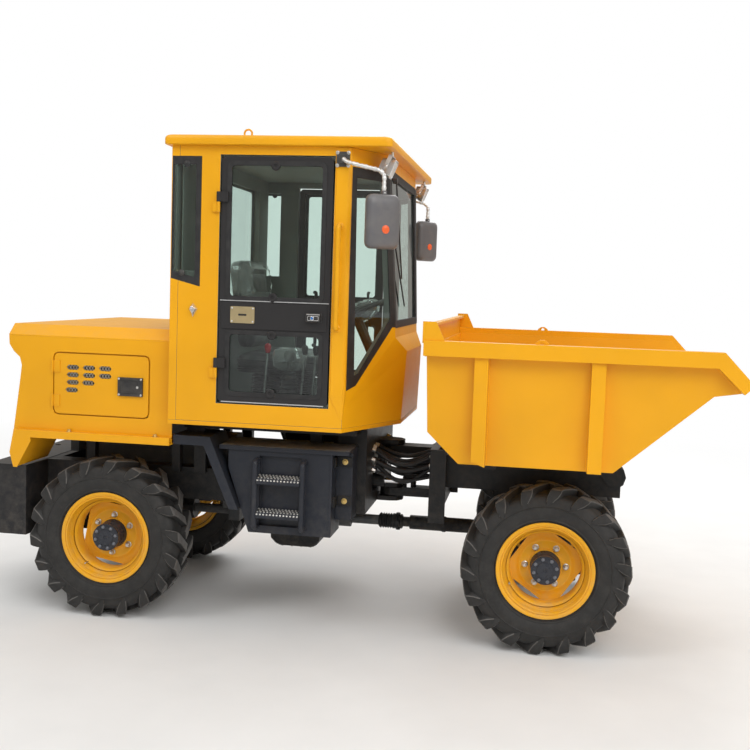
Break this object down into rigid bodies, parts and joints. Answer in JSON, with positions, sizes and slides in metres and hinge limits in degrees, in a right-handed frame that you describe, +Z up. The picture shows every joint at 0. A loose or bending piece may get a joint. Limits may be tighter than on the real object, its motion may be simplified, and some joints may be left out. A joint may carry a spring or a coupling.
{
  "type": "site dumper",
  "caption": "Articulated site dumper with enclosed cab, rear engine hood and forward-tipping open skip.",
  "frame": {"origin": "Centre of the footprint box, on the ground under the tyres.", "axes": "+X forward over the skip, +Y to the machine's left, +Z up."},
  "size_m": [3.552, 1.8519, 2.3532],
  "materials": {
    "paint_yellow": "gloss machine yellow, lightly dusty",
    "paint_black": "satin black, dusty",
    "paint_grey": "satin dark blue grey",
    "frame_paint": "satin near black",
    "door_black": "satin black powder coat",
    "glass": "clear, slightly green",
    "tyre": "matt black rubber with dust",
    "rim": "gloss machine yellow",
    "plastic": "black plastic",
    "seat": "black vinyl",
    "steel": "bright plated rod",
    "lamp": "silver housings",
    "engine": "painted cast iron"
  },
  "bodies": {
    "rear_body": {"rear_frame": "frame_paint", "pivot_tower": "frame_paint", "counterweight": "paint_black", "hood": "paint_yellow", "hood_side_right": "paint_yellow", "hood_side_left": "paint_yellow", "fender_right": "paint_yellow", "fender_left": "paint_yellow", "engine_block": "engine", "gearbox": "engine", "rear_axle": "frame_paint", "cab_floor": "paint_yellow", "cab_back": "paint_yellow", "cab_side_right": "paint_yellow", "cab_side_left": "paint_yellow", "cab_nose": "paint_yellow", "cab_glass": "glass", "cab_roof": "paint_yellow", "door_hinges": "paint_yellow", "seat_base": "plastic", "seat_cushion": "seat", "seat_back": "seat", "steering_column": "plastic", "steering_wheel": "plastic", "levers": "steel", "step_right": "paint_grey", "step_left": "paint_grey", "mudguards": "paint_grey", "grab_rails": "paint_yellow", "mirrors": "plastic", "work_lamps": "lamp"},
    "front_body": {"front_frame": "frame_paint", "front_axle": "frame_paint", "drive_shaft": "frame_paint"},
    "skip": {"skip": "paint_yellow", "skip_side_right": "paint_yellow", "skip_side_left": "paint_yellow"},
    "door_right": {"door_right": "door_black", "door_glass_right": "glass"},
    "door_left": {"door_left": "door_black", "door_glass_left": "glass"},
    "lid_right": {"hood_lid_right": "paint_yellow"},
    "lid_left": {"hood_lid_left": "paint_yellow"},
    "steer_barrel": {"steer_barrel": "frame_paint"},
    "steer_rod": {"steer_rod": "steel"},
    "tip_barrel": {"tip_barrel": "frame_paint"},
    "tip_rod": {"tip_rod": "steel"},
    "wheel_front_right": {"tyre_front_right": "tyre", "rim_front_right": "rim"},
    "wheel_front_left": {"tyre_front_left": "tyre", "rim_front_left": "rim"},
    "wheel_rear_right": {"tyre_rear_right": "tyre", "rim_rear_right": "rim"},
    "wheel_rear_left": {"tyre_rear_left": "tyre", "rim_rear_left": "rim"}
  },
  "joints": [
    {"name": "articulation", "type": "hinge", "parent": "rear_body", "child": "front_body", "pos_m": [0.154, 0, 0.7], "axis": [0, 0, 1], "range_deg": [-25, 25]},
    {"name": "skip_tip", "type": "hinge", "parent": "front_body", "child": "skip", "pos_m": [1.266, 0, 0.79], "axis": [0, 1, 0], "range_deg": [0, 60]},
    {"name": "wheel_front_right_spin", "type": "hinge", "parent": "front_body", "child": "wheel_front_right", "pos_m": [0.966, -0.566, 0.39], "axis": [0, 1, 0], "continuous": true},
    {"name": "wheel_front_left_spin", "type": "hinge", "parent": "front_body", "child": "wheel_front_left", "pos_m": [0.966, 0.566, 0.39], "axis": [0, 1, 0], "continuous": true},
    {"name": "wheel_rear_right_spin", "type": "hinge", "parent": "rear_body", "child": "wheel_rear_right", "pos_m": [-1.158, -0.566, 0.39], "axis": [0, 1, 0], "continuous": true},
    {"name": "wheel_rear_left_spin", "type": "hinge", "parent": "rear_body", "child": "wheel_rear_left", "pos_m": [-1.158, 0.566, 0.39], "axis": [0, 1, 0], "continuous": true},
    {"name": "door_right_hinge", "type": "hinge", "parent": "rear_body", "child": "door_right", "pos_m": [-0.574, -0.784, 1.66], "axis": [0, 0, -1], "range_deg": [0, 95]},
    {"name": "door_left_hinge", "type": "hinge", "parent": "rear_body", "child": "door_left", "pos_m": [-0.574, 0.784, 1.66], "axis": [0, 0, 1], "range_deg": [0, 95]},
    {"name": "lid_right_hinge", "type": "hinge", "parent": "rear_body", "child": "lid_right", "pos_m": [-1.41, -0.708, 1.14], "axis": [0, 0, -1], "range_deg": [0, 100]},
    {"name": "lid_left_hinge", "type": "hinge", "parent": "rear_body", "child": "lid_left", "pos_m": [-1.41, 0.708, 1.14], "axis": [0, 0, 1], "range_deg": [0, 100]},
    {"name": "steer_barrel_swing", "type": "hinge", "parent": "rear_body", "child": "steer_barrel", "pos_m": [-0.146, -0.165, 0.67], "axis": [0, 0, 1], "range_deg": [-7.29, 7.29]},
    {"name": "steer_rod_slide", "type": "slide", "parent": "steer_barrel", "child": "steer_rod", "axis": [0.9999, 0.012, 0], "range_m": [-0.0718, 0.0718]},
    {"name": "tip_barrel_swing", "type": "hinge", "parent": "front_body", "child": "tip_barrel", "pos_m": [1.104, 0, 0.52], "axis": [0, 1, 0], "range_deg": [0, 21.34]},
    {"name": "tip_rod_slide", "type": "slide", "parent": "tip_barrel", "child": "tip_rod", "axis": [-0.2237, 0, 0.9747], "range_m": [0, 0.19]}
  ],
  "couplings": [
    {"joint": "steer_barrel_swing", "follows": "articulation", "ratio": 0.27164},
    {"joint": "steer_rod_slide", "follows": "articulation", "m_per_rad": 0.16007},
    {"joint": "tip_barrel_swing", "follows": "skip_tip", "ratio": 0.3474},
    {"joint": "tip_rod_slide", "follows": "skip_tip", "m_per_rad": 0.17951}
  ]
}
